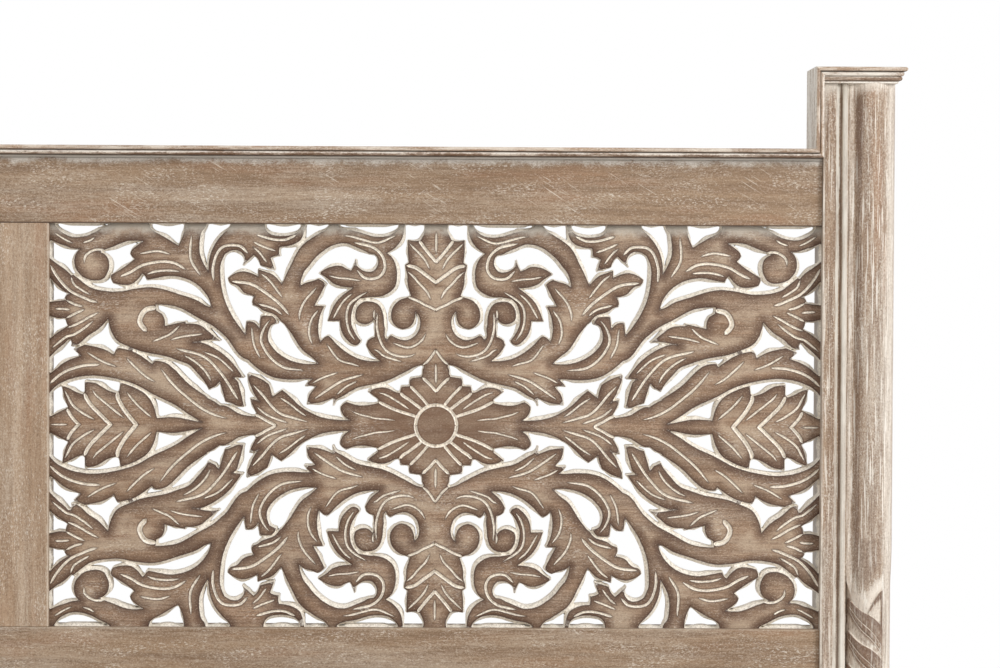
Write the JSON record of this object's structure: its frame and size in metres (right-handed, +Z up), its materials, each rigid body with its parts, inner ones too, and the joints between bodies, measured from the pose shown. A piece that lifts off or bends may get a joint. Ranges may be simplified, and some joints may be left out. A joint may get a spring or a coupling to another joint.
{
  "type": "carved bed frame",
  "caption": "Wooden bed frame with a pierced and carved headboard, moulded post caps, low panelled footboard, hook-on side rails and slats.",
  "frame": {"origin": "on the floor under the middle of the whole frame", "axes": "+X to the right seen from the foot end, +Y towards the head, +Z up"},
  "size_m": [1.662, 2.189, 1.27],
  "materials": {
    "post_wood": "whitewashed, waxed",
    "moulding_wood": "whitewashed, waxed",
    "frame_wood": "whitewashed, waxed",
    "carved_wood": "carved, whitewash rubbed into the cuts",
    "panel_wood": "whitewashed, waxed",
    "slat_wood": "planed, unfinished",
    "plated_steel": "zinc plated",
    "dark_plastic": "moulded"
  },
  "bodies": {
    "frame": {"head_post_left": "post_wood", "head_post_right": "post_wood", "head_column_left": "post_wood", "head_column_right": "post_wood", "head_cap_left": "moulding_wood", "head_cap_right": "moulding_wood", "head_riser_left": "moulding_wood", "head_riser_right": "moulding_wood", "head_rail_cap": "moulding_wood", "head_top_rail": "frame_wood", "head_mid_rail": "frame_wood", "head_bottom_rail": "frame_wood", "head_centre_stile": "frame_wood", "head_lower_stile": "frame_wood", "carved_panel_left": "carved_wood", "carved_panel_right": "carved_wood", "head_plain_panel_left": "panel_wood", "head_plain_panel_right": "panel_wood", "foot_post_left": "post_wood", "foot_post_right": "post_wood", "foot_column_left": "post_wood", "foot_column_right": "post_wood", "foot_cap_left": "moulding_wood", "foot_cap_right": "moulding_wood", "foot_riser_left": "moulding_wood", "foot_riser_right": "moulding_wood", "foot_rail_cap": "moulding_wood", "foot_top_rail": "frame_wood", "foot_bottom_rail": "frame_wood", "foot_centre_stile": "frame_wood", "foot_panel_left": "panel_wood", "foot_panel_right": "panel_wood", "side_rail_left": "frame_wood", "side_rail_right": "frame_wood", "ledger_left": "slat_wood", "ledger_right": "slat_wood", "hook_plates": "plated_steel", "slotted_plates": "plated_steel", "centre_beam": "slat_wood", "beam_hangers": "plated_steel", "centre_leg_head": "slat_wood", "centre_leg_foot": "slat_wood", "leg_inserts": "plated_steel", "post_glides": "dark_plastic", "screws": "plated_steel", "slat_01": "slat_wood", "slat_02": "slat_wood", "slat_03": "slat_wood", "slat_04": "slat_wood", "slat_05": "slat_wood", "slat_06": "slat_wood", "slat_07": "slat_wood", "slat_08": "slat_wood", "slat_09": "slat_wood", "slat_10": "slat_wood", "slat_11": "slat_wood", "slat_12": "slat_wood", "slat_13": "slat_wood"},
    "leveller_head": {"levelling_foot_head": "dark_plastic"},
    "leveller_foot": {"levelling_foot_foot": "dark_plastic"}
  },
  "joints": [
    {"name": "leveller_head_travel", "type": "slide", "parent": "frame", "child": "leveller_head", "axis": [0, 0, 1], "range_m": [0, 0.012]},
    {"name": "leveller_foot_travel", "type": "slide", "parent": "frame", "child": "leveller_foot", "axis": [0, 0, 1], "range_m": [0, 0.012]}
  ]
}
